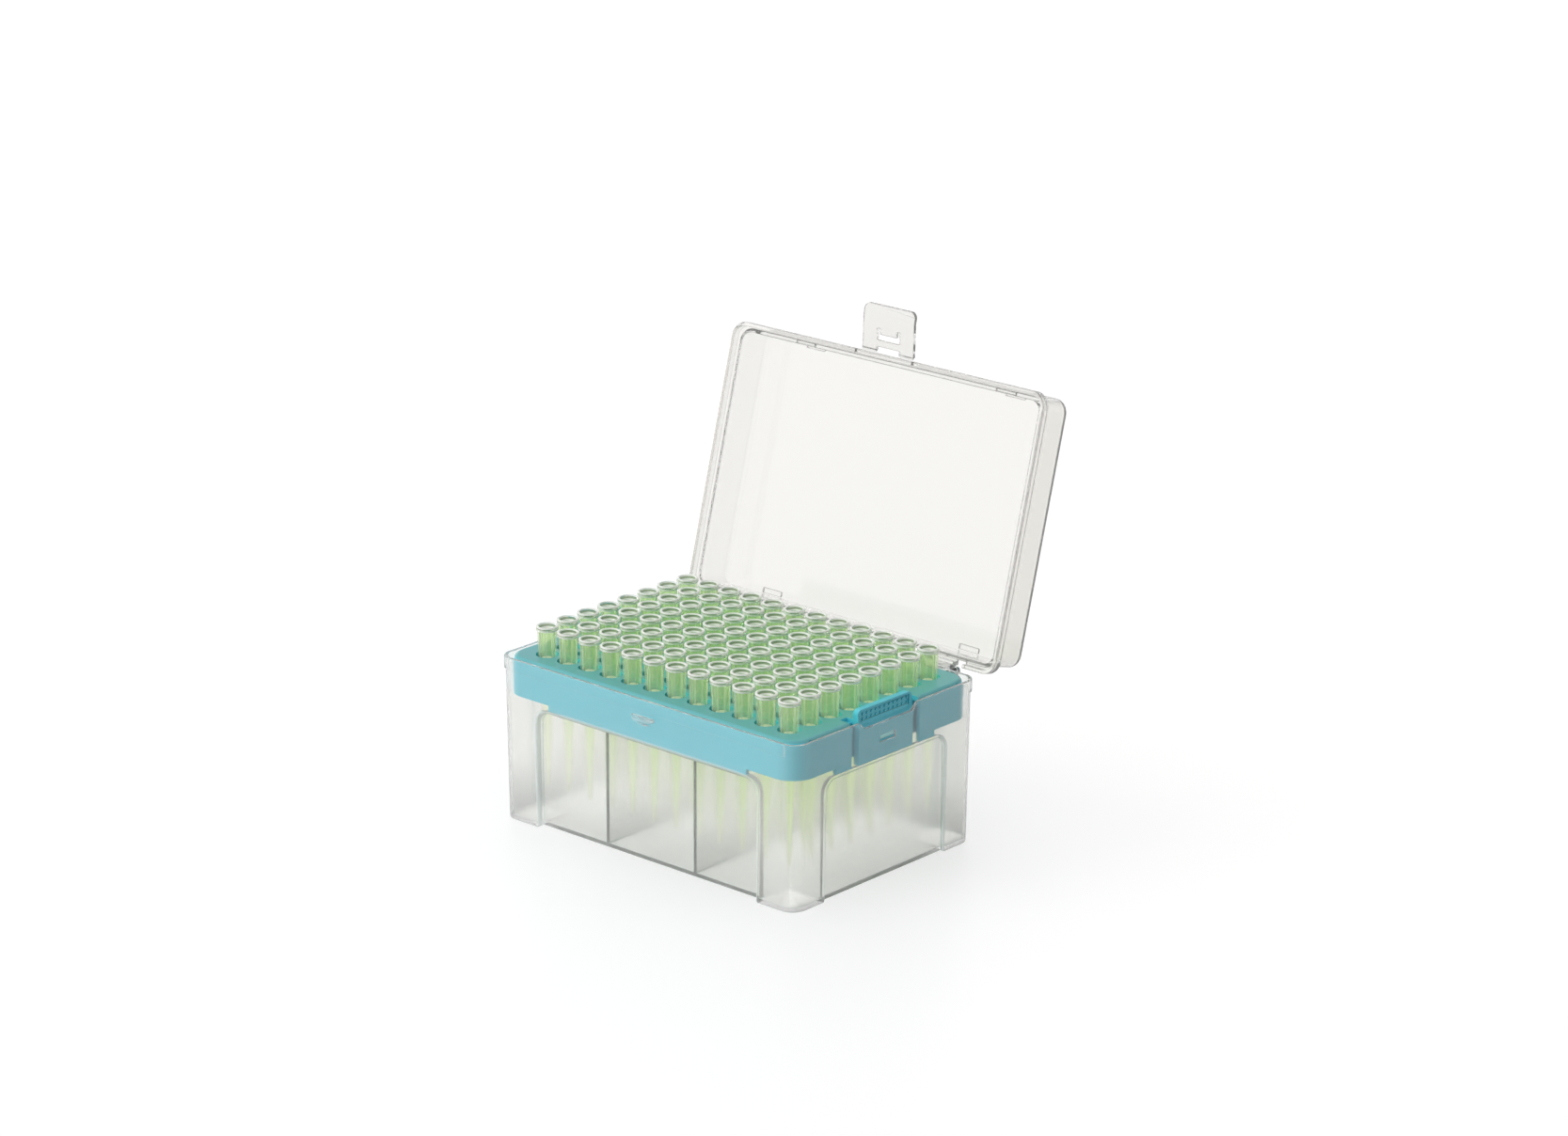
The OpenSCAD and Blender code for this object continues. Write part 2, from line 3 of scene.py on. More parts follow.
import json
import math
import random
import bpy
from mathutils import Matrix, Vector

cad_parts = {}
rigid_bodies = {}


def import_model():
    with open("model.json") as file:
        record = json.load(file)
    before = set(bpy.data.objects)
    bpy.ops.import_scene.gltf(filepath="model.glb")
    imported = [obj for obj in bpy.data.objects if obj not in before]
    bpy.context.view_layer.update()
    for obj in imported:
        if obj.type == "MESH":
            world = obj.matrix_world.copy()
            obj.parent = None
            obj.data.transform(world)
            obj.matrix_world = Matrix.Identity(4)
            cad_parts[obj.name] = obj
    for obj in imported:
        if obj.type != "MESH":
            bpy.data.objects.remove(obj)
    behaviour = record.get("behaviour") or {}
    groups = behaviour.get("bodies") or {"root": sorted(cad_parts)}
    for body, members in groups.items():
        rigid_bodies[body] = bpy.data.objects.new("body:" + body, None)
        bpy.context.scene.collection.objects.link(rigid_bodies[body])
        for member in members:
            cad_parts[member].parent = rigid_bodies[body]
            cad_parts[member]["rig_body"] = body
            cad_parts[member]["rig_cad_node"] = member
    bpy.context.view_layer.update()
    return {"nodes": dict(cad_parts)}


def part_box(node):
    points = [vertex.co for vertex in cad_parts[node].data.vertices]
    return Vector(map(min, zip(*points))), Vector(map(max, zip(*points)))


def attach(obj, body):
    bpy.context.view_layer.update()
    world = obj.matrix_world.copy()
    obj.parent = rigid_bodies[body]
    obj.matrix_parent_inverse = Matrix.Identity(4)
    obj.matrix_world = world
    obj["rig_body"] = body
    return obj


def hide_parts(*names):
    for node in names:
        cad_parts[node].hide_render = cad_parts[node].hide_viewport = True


bl_info = {
    "name": "Filter tip box",
    "version": (1, 0, 0),
    "blender": (4, 5, 0),
    "location": "View3D > Sidebar > Tip Box",
    "description": "Models a hinged box of filter pipette tips and its studio",
    "category": "Object",
}

import bmesh
import bpy
from mathutils import Matrix, Vector

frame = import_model()

MM = 0.001
COLUMNS = 12
ROWS = 8

SHARP = math.radians(32)  # an edge that turns by more than this gets a bevel
SMOOTH = math.radians(42)  # an edge that turns by less than this is shaded smooth
BEVEL_SHARE = 0.4  # part of a narrow face that one bevel may take
MANY_CORNERS = 48  # a face with more corners than this is taken as a ring


def centre_of(node):
    """Middle of a CAD node's box at rest."""
    low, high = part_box(node)
    return (low + high) / 2


TIP_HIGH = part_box("tips_column_01")[1]
TIP_MIDDLE = centre_of("tips_column_01")
TIP_PITCH = centre_of("tips_column_02").x - TIP_MIDDLE.x
FILTER_LOW, FILTER_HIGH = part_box("filters_column_01")
RACK_LOW, RACK_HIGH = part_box("tip_rack")
BASE_LOW, BASE_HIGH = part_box("base_box")
TAB_FACE = RACK_HIGH.x - 0.9 * MM  # outer face of the grip tabs, which the nibs stand on
WEB_DROP = 4.2 * MM  # from the tabs' tops down to the webs' upper edges, in the hole plate

# Tones of marked faces, chosen by comparison with the photograph
# Painted highlight: a paler band on the pillars' rounded edges, standing in for the light they bend
ARCH_HIGHLIGHT_TONE = (0.9, 0.96, 0.95)
# Painted shade on the base's rounded edges below its ledge
EDGE_SHADE_TONE = (0.7, 0.78, 0.75)
# Painted light: a milkier tone that makes the catch nose show pale
NOSE_LIGHT_TONE = (0.86, 0.9, 0.88)
# Painted light: the nibs, of the rack's blue plastic, toned much paler
NIB_LIGHT_TONE = (0.5, 0.9, 0.88)
# Painted shade on the round sides of the dots in the grip tabs' sunk fields
DOT_SHADE_TONE = (0.02, 0.3, 0.4)
# Painted shade: the hole plate's top darker and greener among the tips
PLATE_SHADE_SHIFT = (1.2, 0.75, 0.64)  # the hole plate's top against the rack's own tone
# Painted light on the tips' fins, paler than their bodies
FIN_LIGHT_TONE = (0.9, 0.975, 0.75)
# Painted light on the tips' beads, paler than their bodies
BEAD_LIGHT_TONE = (0.93, 0.965, 0.86)
# Painted light on the tips below the plate, paler than above it
CONE_LIGHT_TONE = (0.95, 0.98, 0.86)
# Painted shade inside the tips' mouths
MOUTH_SHADE_TONE = (0.22, 0.3, 0.17)
# Painted highlight on the tips' rims
RIM_HIGHLIGHT_TONE = (0.98, 0.985, 0.95)

# How the clear plastics pass light on, chosen in the same way
BASE_IOR = 1.38  # lower than the plastic's own
CLEAR_IOR = 1.49
DEEP = 6.5  # a ray that has bent at more surfaces than this goes straight on
LAMP_TINT = (0.97, 0.97, 0.965)  # what straight light keeps at a surface of the box
TIP_LAMP_TINT = (0.955, 0.98, 0.91)  # and at a surface of a tip

# The studio
BOUNCES = {
    "max_bounces": 20,
    "transmission_bounces": 20,
    "diffuse_bounces": 3,
    "glossy_bounces": 6,
    "transparent_max_bounces": 40,
}
LAMPS = (  # name, place, and part of the key light's power
    ("Key softbox", (-0.9, -1.3, 0.8), 1),
    ("Rear softbox", (0.9, 1.1, 1.3), 0.25),
)
LAMP_SIZE = 0.9
LAMP_AIM = (0, 0.02, 0.06)
LIT_SIDE = (-0.68, -0.68, 0.28)  # the side that the even light is strongest from
BACKGROUND = ((0.24, 1.0), (0.34, 0.6), (0.5, 0.6), (0.64, 1.0))  # height, brightness
FLOOR_GLOW = 0.55  # the floor's own light, for rays that see it
# Painted light: a glow on the floor under the base that lightens the box's inside
BASE_PAINTED_GLOW = 0.62  # added under the base, for rays that come through clear plastic


# ---- What a user would change ----


def length_mm(name, description, default):
    """A length property, given in millimetres."""
    return bpy.props.FloatProperty(
        name=name, description=description, default=default * MM, unit="LENGTH", precision=5
    )


def colour(name, description, default):
    """A linear colour property."""
    return bpy.props.FloatVectorProperty(
        name=name,
        description=description,
        default=default,
        subtype="COLOR",
        size=3,
        min=0,
        max=1,
    )


def share(name, description, default):
    """A share from 0 to 1."""
    return bpy.props.FloatProperty(
        name=name, description=description, default=default, subtype="FACTOR", min=0, max=1
    )


class MouldingSettings(bpy.types.PropertyGroup):
    """Edges of the large mouldings, and the webs behind the rack's slots."""

    base_edge: length_mm("Base edge", "Rounding of the base's edges", 0.28)
    arch_edge: length_mm("Arch edge", "Rounding of the pillars beside the long panels", 1.5)
    arch_edge_end: length_mm("End arch edge", "Rounding of the pillars beside the end panels", 0.8)
    arch_top: length_mm("Arch top", "Height of the recessed panels", 37.9)
    arch_half_l: length_mm("Arch half length", "Half the length of a long recessed panel", 44.7)
    arch_half_w: length_mm("Arch half width", "Half the width of an end's recessed panel", 27)
    web_depth: length_mm("Web depth", "Depth of the webs behind the rack's slots", 2.6)
    web_thickness: length_mm("Web thickness", "Thickness of the webs behind the rack's slots", 1.8)
    web_width: length_mm("Web width", "Width of the webs behind the rack's slots", 40)
    web_lift: length_mm("Web lift", "Height of the webs' lower edge above the rack's seat", 2.2)
    rack_edge: length_mm("Rack edge", "Rounding of the rack's edges", 0.2)
    lid_edge: length_mm("Lid edge", "Rounding of the lid's edges", 0.25)
    flap_edge: length_mm("Flap edge", "Rounding of the flap's edges", 0.18)


class TipSettings(bpy.types.PropertyGroup):
    """Sizes of one filter tip."""

    length: length_mm("Length", "Length of a tip", 52)
    bead_radius: length_mm("Bead radius", "Outer radius of the bead round the mouth", 3.45)
    bead_height: length_mm("Bead height", "Height of the bead", 1.4)
    mouth_radius: length_mm("Mouth radius", "Inner radius at the mouth", 2.65)
    lead_in: length_mm("Lead-in", "Depth over which the mouth narrows to the bore", 2)
    fin_reach: length_mm("Fin reach", "Radius over the fins under the bead", 3.03)
    body_top: length_mm("Body radius, top", "Radius of the body at the mouth's height", 2.5)
    body_low: length_mm("Body radius, low", "Radius of the body at the fins' lower end", 2.25)
    above_plate: length_mm("Above plate", "Height of the mouths above the rack's plate", 9.3)
    collar: length_mm("Collar length", "Length from the mouth to the fins' lower end", 16.7)
    end_radius: length_mm("End radius", "Outer radius at the pointed end", 0.5)
    wall: length_mm("Wall", "Wall thickness", 0.4)
    sides: bpy.props.IntProperty(name="Sides", description="Faces round a tip", default=40)
    fins: bpy.props.IntProperty(name="Fins", description="Fins round a collar", default=8)


class ColourSettings(bpy.types.PropertyGroup):
    """Colours of the five plastics."""

    base: colour("Base", "Natural frosted plastic of the base", (0.99, 0.99, 0.972))
    rack: colour("Rack", "Blue plastic of the rack", (0.10, 0.60, 0.74))
    lid: colour("Lid", "Clear plastic of the lid", (0.915, 0.905, 0.88))
    tip: colour("Tip", "Yellow-green plastic of the tips", (0.81, 0.935, 0.66))
    plug: colour("Filter", "White porous filter", (0.86, 0.87, 0.84))


class StageSettings(bpy.types.PropertyGroup):
    """Camera, lamps and floor."""

    azimuth: bpy.props.FloatProperty(
        name="Azimuth",
        description="Direction of the camera",
        default=math.radians(41.67),
        subtype="ANGLE",
    )
    elevation: bpy.props.FloatProperty(
        name="Elevation",
        description="Height angle of the camera",
        default=math.radians(18.25),
        subtype="ANGLE",
    )
    roll: bpy.props.FloatProperty(
        name="Roll",
        description="Turn of the camera about its line of sight",
        default=math.radians(0.24),
        subtype="ANGLE",
    )
    distance: length_mm("Distance", "Distance from the camera to its target", 1557.43)
    target: bpy.props.FloatVectorProperty(
        name="Target",
        description="Point that the camera looks at",
        default=(-0.07827, 0.10945, 0.04),
        subtype="TRANSLATION",
    )
    lens: bpy.props.FloatProperty(
        name="Lens", description="Focal length in millimetres", default=107.75
    )
    key_power: bpy.props.FloatProperty(
        name="Key light", description="Power of the key softbox in watts", default=9.0
    )
    fill: share("Fill light", "Strength of the even studio light", 0.66)


# ---- Selecting and shaping, as by hand ----


def clear_selection():
    """Leaves nothing selected, in object mode."""
    if bpy.context.object and bpy.context.object.mode != "OBJECT":
        bpy.ops.object.mode_set(mode="OBJECT")
    bpy.ops.object.select_all(action="DESELECT")


def select_only(*pieces):
    """Selects these pieces alone and makes the first one active."""
    clear_selection()
    for piece in pieces:
        piece.select_set(True)
    bpy.context.view_layer.objects.active = pieces[0]


def choose(piece, kind, test):
    """In edit mode, selects the verts, edges or faces that pass a test and nothing else."""
    bpy.ops.mesh.select_mode(type={"verts": "VERT", "edges": "EDGE", "faces": "FACE"}[kind])
    bpy.ops.mesh.select_all(action="DESELECT")
    mesh = bmesh.from_edit_mesh(piece.data)
    for element in getattr(mesh, kind):
        element.select_set(bool(test(element)))
    mesh.select_flush_mode()
    bmesh.update_edit_mesh(piece.data)


def name_piece(piece, name):
    """Gives a piece and its mesh one name."""
    piece.name = name
    piece.data.name = name


def place_in_mesh(piece):
    """Moves a piece's place, turn and size into its mesh."""
    select_only(piece)
    bpy.ops.object.transform_apply(location=True, rotation=True, scale=True)


def copy_node(node, name):
    """An own copy of a CAD node as one closed mesh with its flat faces whole."""
    source = frame["nodes"][node]
    select_only(source)
    bpy.ops.object.duplicate()
    piece = bpy.context.object
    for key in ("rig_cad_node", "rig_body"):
        if key in piece:
            del piece[key]
    piece.parent = None
    name_piece(piece, name)
    bpy.ops.mesh.customdata_custom_splitnormals_clear()
    bpy.ops.object.mode_set(mode="EDIT")
    bpy.ops.mesh.select_all(action="SELECT")
    bpy.ops.mesh.remove_doubles(threshold=0.002 * MM)
    bpy.ops.mesh.dissolve_degenerate(threshold=0.002 * MM)
    bpy.ops.mesh.select_all(action="SELECT")
    bpy.ops.mesh.dissolve_limited(angle_limit=math.radians(0.4))
    bpy.ops.object.mode_set(mode="OBJECT")
    return piece


def mark_faces(piece, name, test):
    """Stores 1 on the faces that pass a test and 0 on the rest, for a material to read."""
    marks = piece.data.attributes.new(name, "FLOAT", "FACE")
    for face in piece.data.polygons:
        marks.data[face.index].value = 1.0 if test(face) else 0.0


def on_nose(face):
    """Tells whether a face of the base is part of the catch nose on its front wall."""
    reach, largest = 2.7 * MM, 30 * MM * MM
    return face.center.y < BASE_LOW.y + reach and face.area < largest


def on_nib(face):
    """Tells whether a face of the rack is part of the nibs that fill the windows of the base."""
    reach = 0.8 * MM
    return abs(face.center.x) > RACK_HIGH.x - reach


def on_plate(face):
    """Tells whether a face of the rack is on top of its hole plate, not of its grip tabs."""
    lowest, highest, upward = 3.8 * MM, 2 * MM, 0.6
    at_plate = RACK_HIGH.z - lowest < face.center.z < RACK_HIGH.z - highest
    return face.normal.z > upward and at_plate


def beside_dot(face):
    """Tells whether a face of the rack is a dot's round side in the grip tabs' sunk fields."""
    shallow, deep, largest, outward = 0.02 * MM, 0.42 * MM, 0.4 * MM * MM, 0.9
    depth = TAB_FACE - abs(face.center.x)
    return shallow < depth < deep and face.area < largest and abs(face.normal.x) < outward


def slot_webs(name, depth, thickness, width, lift):
    """Upright strips that close the slots beside the grip tabs from inside."""
    clear_selection()
    outer = TAB_FACE - depth
    low = RACK_LOW.z + lift
    high = RACK_HIGH.z - WEB_DROP
    strips = []
    for side in (1, -1):
        bpy.ops.mesh.primitive_cube_add(
            size=1,
            location=(side * (outer - thickness / 2), 0, (low + high) / 2),
            scale=(thickness, width, high - low),
        )
        strips.append(bpy.context.object)
        place_in_mesh(strips[-1])
    strips[0].select_set(True)
    bpy.ops.object.join()
    webs = bpy.context.object
    name_piece(webs, name)
    return webs


def mean_breadth(mesh, face):
    """Breadth of a face that is taken as a ring: twice its area over the length of its edges."""
    ends = [[mesh.vertices[i].co for i in pair] for pair in face.edge_keys]
    return 2 * face.area / sum((first - second).length for first, second in ends)


def room_beside(mesh, face, key):
    """Reach of a face away from the line of one of its edges."""
    start = mesh.vertices[key[0]].co
    along = (mesh.vertices[key[1]].co - start).normalized()
    return max((mesh.vertices[i].co - start).cross(along).length for i in face.vertices)


def weigh_edges(piece, width):
    """Weights each sharp edge's bevel by the room that the faces on both its sides have."""
    mesh = piece.data
    beside = {}
    for face in mesh.polygons:
        for key in face.edge_keys:
            beside.setdefault(key, []).append(face)
    rings = {
        face.index: mean_breadth(mesh, face)
        for face in mesh.polygons
        if len(face.vertices) > MANY_CORNERS
    }
    weights = mesh.attributes.new("bevel_weight_edge", "FLOAT", "EDGE")
    for edge in mesh.edges:
        faces = beside[edge.key]
        if len(faces) == 2 and faces[0].normal.angle(faces[1].normal, 0) > SHARP:
            room = min(
                rings[face.index] if face.index in rings else room_beside(mesh, face, edge.key)
                for face in faces
            )
            weights.data[edge.index].value = min(1.0, BEVEL_SHARE * room / width)


def soften_edges(piece, width):
    """Rounds a piece's sharp edges, marks them and shades the rest smooth."""
    select_only(piece)
    piece.data.materials.clear()
    for _ in range(2):
        bpy.ops.object.material_slot_add()
    weigh_edges(piece, width)
    bevel = piece.modifiers.new("Soft edges", "BEVEL")
    bevel.width = width
    bevel.segments = 2
    bevel.limit_method = "WEIGHT"
    bevel.use_clamp_overlap = False
    bevel.miter_outer = "MITER_SHARP"
    bevel.material = 1
    bpy.ops.object.modifier_apply(modifier=bevel.name)
    mark_faces(piece, "edge", lambda face: face.material_index == 1)
    for face in piece.data.polygons:
        face.material_index = 0
    bpy.ops.object.shade_smooth_by_angle(angle=SMOOTH)
    flat = piece.modifiers.new("Flat faces", "WEIGHTED_NORMAL")
    flat.keep_sharp = True
    bpy.ops.object.modifier_apply(modifier=flat.name)


def round_arch(piece, side, half, top, width):
    """Rounds the pillars' edges beside the recessed panels of two sides, 0 for X and 1 for Y."""
    margin, outermost, turned_in = 1 * MM, 0.95, 0.25

    def on_arch(edge):
        middle = (edge.verts[0].co + edge.verts[1].co) / 2
        if len(edge.link_faces) != 2 or not edge.is_convex:
            return False
        if not margin < middle.z < top + margin or abs(middle[1 - side]) > half + margin:
            return False
        outward = [
            face.normal[side] * (1 if middle[side] > 0 else -1) for face in edge.link_faces
        ]
        return max(outward) > outermost and abs(min(outward)) < turned_in

    select_only(piece)
    bpy.ops.object.mode_set(mode="EDIT")
    choose(piece, "edges", on_arch)
    bpy.ops.mesh.bevel(offset=width, segments=4, affect="EDGES", clamp_overlap=False)
    mesh = bmesh.from_edit_mesh(piece.data)
    # the rounded faces are marked for their painted highlight
    marks = mesh.faces.layers.float.get("arch") or mesh.faces.layers.float.new("arch")
    for face in mesh.faces:
        if face.select:
            face[marks] = 1.0
    bmesh.update_edit_mesh(piece.data)
    bpy.ops.object.mode_set(mode="OBJECT")


def dress(piece, material, slot, body, *nodes):
    """Gives a piece its one material, its body and the nodes it stands for; its slot is not used.
    """
    piece.data.materials.clear()
    piece.data.materials.append(material)
    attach(piece, body)
    if nodes:
        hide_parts(*nodes)


# ---- Materials ----


def plug(tree, value, socket):
    """Links a pattern to a socket, or sets the socket to a plain value."""
    if isinstance(value, bpy.types.NodeSocket):
        tree.links.new(value, socket)
    else:
        socket.default_value = value


def add_node(tree, kind, *ordered, **named):
    """Adds a node, with values for its first sockets in order and for sockets and settings by name.

    A name has _ for a space.
    """
    made = tree.nodes.new(kind)
    for key, value in named.items():
        socket = made.inputs.get(key.replace("_", " "))
        if socket is None:
            setattr(made, key, value)
        else:
            plug(tree, value, socket)
    for value, socket in zip(ordered, made.inputs):
        plug(tree, value, socket)
    return made


def calc(tree, operation, *values):
    """What a math node makes of patterns and plain values."""
    return add_node(tree, "ShaderNodeMath", *values, operation=operation).outputs[0]


class Shading:
    """A material's node tree, with a few short ways to add to it."""

    def __init__(self, name):
        self.material = bpy.data.materials.new(name)
        self.material.use_nodes = True
        self.tree = self.material.node_tree
        self.shader = self.tree.nodes["Principled BSDF"]
        self.output = self.tree.nodes["Material Output"]
        self.place = self.tree.nodes.new("ShaderNodeTexCoord").outputs["Object"]

    def node(self, kind, *ordered, **named):
        """Adds a node to this material."""
        return add_node(self.tree, kind, *ordered, **named)

    def noise(self, scale, detail, rough, stretch=(1, 1, 1)):
        """A noise pattern on the piece's own coordinates, from 0 to 1."""
        placed = self.node("ShaderNodeMapping", Vector=self.place, Scale=stretch)
        return self.node(
            "ShaderNodeTexNoise",
            Vector=placed.outputs["Vector"],
            Scale=scale,
            Detail=detail,
            Roughness=rough,
        ).outputs["Fac"]

    def spread(self, factor, low, high, start=0.3, end=0.7):
        """Maps a pattern onto a range of values."""
        return self.node(
            "ShaderNodeMapRange",
            Value=factor,
            From_Min=start,
            From_Max=end,
            To_Min=low,
            To_Max=high,
        ).outputs["Result"]

    def tones(self, factor, first, second):
        """A colour between two tones, by a pattern. Either tone can be a pattern itself."""
        made = self.node("ShaderNodeMix", data_type="RGBA", Factor=factor)
        ends = [socket for socket in made.inputs if socket.type == "RGBA"]
        for tone, socket in zip((first, second), ends):
            plain = not isinstance(tone, bpy.types.NodeSocket)
            plug(self.tree, (*tone, 1) if plain else tone, socket)
        return next(socket for socket in made.outputs if socket.type == "RGBA")

    def mixed(self, factor, first, second):
        """A value between two values, by a pattern."""
        made = self.node("ShaderNodeMix", data_type="FLOAT", Factor=factor)
        ends = [socket for socket in made.inputs if socket.type == "VALUE" and socket.name in "AB"]
        for value, socket in zip((first, second), ends):
            plug(self.tree, value, socket)
        return next(socket for socket in made.outputs if socket.type == "VALUE")

    def layers(self, lowest, *over):
        """A colour with tones laid over it in turn, each by its own pattern."""
        for factor, tone in over:
            lowest = self.tones(factor, lowest, tone)
        return lowest

    def levels(self, lowest, *over):
        """A value with others laid over it in turn, each by its own pattern."""
        for factor, value in over:
            lowest = self.mixed(factor, lowest, value)
        return lowest

    def mark(self, name):
        """A mark stored on the faces, from 0 to 1."""
        return self.node("ShaderNodeAttribute", attribute_name=name).outputs["Fac"]

    def height(self):
        """The height above the table, in metres."""
        return self.node("ShaderNodeSeparateXYZ", Vector=self.place).outputs["Z"]

    def near(self, value, middle, full, none):
        """1 within a distance of a value, falling to 0 at a larger one."""
        offset = calc(self.tree, "SUBTRACT", value, middle)
        return self.spread(calc(self.tree, "ABSOLUTE", offset), 1, 0, full, none)

    def product(self, first, second):
        """Two patterns multiplied."""
        return calc(self.tree, "MULTIPLY", first, second)

    def larger(self, first, second):
        """The larger of two patterns."""
        return calc(self.tree, "MAXIMUM", first, second)

    def bump(self, height, distance, strength):
        """A bump from a height pattern."""
        return self.node(
            "ShaderNodeBump", Height=height, Distance=distance, Strength=strength
        ).outputs["Normal"]

    def feed(self, **links):
        """Links patterns to the shader's sockets, with _ for a space."""
        for key, value in links.items():
            self.tree.links.new(value, self.shader.inputs[key.replace("_", " ")])

    def fix(self, **values):
        """Sets the shader's plain sockets, with _ for a space."""
        for key, value in values.items():
            self.shader.inputs[key.replace("_", " ")].default_value = value

    def let_lamps_through(self, tint):
        """Lets lamp light, light from dull surfaces and rays that have bent often go straight."""
        path = self.node("ShaderNodeLightPath").outputs
        deep = calc(self.tree, "GREATER_THAN", path["Transmission Depth"], DEEP)
        outer = self.larger(path["Is Shadow Ray"], path["Is Diffuse Ray"])
        clear = self.node("ShaderNodeBsdfTransparent", Color=(*tint, 1))
        mix = self.node(
            "ShaderNodeMixShader",
            self.larger(deep, outer),
            self.shader.outputs[0],
            clear.outputs[0],
        )
        self.tree.links.new(mix.outputs[0], self.output.inputs["Surface"])


def shade(tone, factor):
    """A tone made darker or lighter."""
    return tuple(min(1.0, part * factor) for part in tone)


def frosted_plastic(tone, ledge):
    """Natural plastic of the base: milky below its ledge, clearer above it and at its ends, the
    ends' extra clearness being painted light that brightens them. Painted shade darkens its sides
    towards the bottom and its rounded edges below the ledge; a painted highlight lies on the
    pillars' rounded edges and painted light on the catch nose.
    """
    s = Shading("Frosted natural plastic")
    cloud = s.noise(28, 3, 0.55)
    grain = s.noise(2600, 2, 0.6)
    high = s.height()
    above = s.spread(high, 0, 1, ledge + 0.6 * MM, ledge + 2.4 * MM)
    # painted shade: the sides darker towards the bottom
    low = s.product(s.spread(high, 1, 0, 1 * MM, 20 * MM), s.mark("side"))
    # painted shade on the rounded edges, below the ledge only
    edge = s.mixed(above, s.mark("edge"), 0)
    arch, nose = s.mark("arch"), s.mark("nose")
    s.feed(
        Base_Color=s.layers(
            s.tones(cloud, shade(tone, 0.985), tone),
            (low, shade(tone, 0.76)),
            # painted highlight on the pillars' rounded edges
            (arch, ARCH_HIGHLIGHT_TONE),
            (edge, EDGE_SHADE_TONE),
            # painted light on the catch nose
            (nose, NOSE_LIGHT_TONE),
        ),
        Roughness=s.spread(cloud, 0.2, 0.25),
        # the ends let more light through, painted light that brightens the end walls; the arch and
        # nose let less through, milkier for their painted light
        Transmission_Weight=s.levels(
            s.spread(s.mark("end"), 0.88, 0.95, 0, 1), (above, 0.93), (arch, 0.55), (nose, 0.7)
        ),
        Normal=s.bump(grain, 0.01 * MM, 0.4),
    )
    s.fix(IOR=BASE_IOR)
    s.let_lamps_through(LAMP_TINT)
    return s.material


def rack_plastic(tone):
    """Glossy opaque blue plastic of the rack, with painted shade that makes it darker and greener
    on top of its hole plate among the tips and darker round the dots, and painted light that makes
    the nibs pale.
    """
    s = Shading("Blue rack plastic")
    cloud = s.noise(45, 3, 0.5)
    grain = s.noise(1400, 2, 0.5)
    s.feed(
        Base_Color=s.layers(
            s.tones(cloud, shade(tone, 0.96), shade(tone, 1.04)),
            # painted shade on top of the hole plate
            (s.mark("plate"), tuple(part * by for part, by in zip(tone, PLATE_SHADE_SHIFT))),
            # painted light on the nibs
            (s.mark("nib"), NIB_LIGHT_TONE),
            # painted shade round the dots
            (s.mark("dot"), DOT_SHADE_TONE),
        ),
        Roughness=s.spread(cloud, 0.16, 0.22),
        Normal=s.bump(grain, 0.01 * MM, 0.35),
    )
    s.fix(IOR=1.5, Specular_IOR_Level=0.5)
    return s.material


def clear_plastic(name, tone):
    """Clear glossy plastic of the lid and its flap, with faint flow waves and painted shade on its
    rounded edges.
    """
    s = Shading(name)
    wave = s.noise(34, 2, 0.4, (1, 1, 0.6))
    smear = s.noise(120, 4, 0.6)
    s.feed(
        Base_Color=s.layers(
            # painted shade on the rounded edges
            s.tones(smear, shade(tone, 0.99), tone), (s.mark("edge"), shade(tone, 0.82))
        ),
        Roughness=s.spread(smear, 0.07, 0.12),
        Normal=s.bump(wave, 0.25 * MM, 0.12),
    )
    s.fix(Transmission_Weight=0.95, IOR=CLEAR_IOR)
    s.let_lamps_through(LAMP_TINT)
    return s.material


def tip_plastic(tone, mouth, bead, plate):
    """Clear yellow-green plastic of the tips, with painted light that makes the beads, fins and the
    cones below the plate pale, painted highlights that make the rims bright, and painted shade
    inside the mouths.
    """
    s = Shading("Green tip plastic")
    cloud = s.noise(60, 2, 0.5)
    streak = s.noise(700, 2, 0.5, (1, 1, 0.08))
    high = s.height()
    # painted light: paler and clearer at the bead and above it
    bead_light = s.spread(high, 0, 1, mouth - bead - 0.5 * MM, mouth - bead + 0.1 * MM)
    below = s.spread(high, 1, 0, plate - 1.5 * MM, plate)
    fin, inside = s.mark("fin"), s.mark("inside")
    # painted highlight: bright bands at the mouth's rim and the bead's lower rim
    rims = s.larger(
        s.near(high, mouth, 0.26 * MM, 0.42 * MM),
        s.near(high, mouth - bead + 0.1 * MM, 0.2 * MM, 0.36 * MM),
    )
    s.feed(
        Base_Color=s.layers(
            s.tones(cloud, shade(tone, 0.98), tone),
            # painted light on the fins
            (fin, FIN_LIGHT_TONE),
            (bead_light, BEAD_LIGHT_TONE),
            # painted light below the plate
            (below, CONE_LIGHT_TONE),
            # painted shade inside the mouths
            (inside, MOUTH_SHADE_TONE),
            (rims, RIM_HIGHLIGHT_TONE),
        ),
        Roughness=s.spread(cloud, 0.05, 0.09),
        # the fins, mouths and rims let less light through and the plastic below the plate more, as
        # part of their painted light and shade
        Transmission_Weight=s.levels(
            s.spread(bead_light, 0.84, 0.9, 0, 1),
            (below, 0.96),
            (fin, 0.74),
            (inside, 0.65),
            (rims, 0.3),
        ),
        Normal=s.bump(streak, 0.015 * MM, 0.12),
    )
    s.fix(IOR=CLEAR_IOR)
    s.let_lamps_through(TIP_LAMP_TINT)
    return s.material


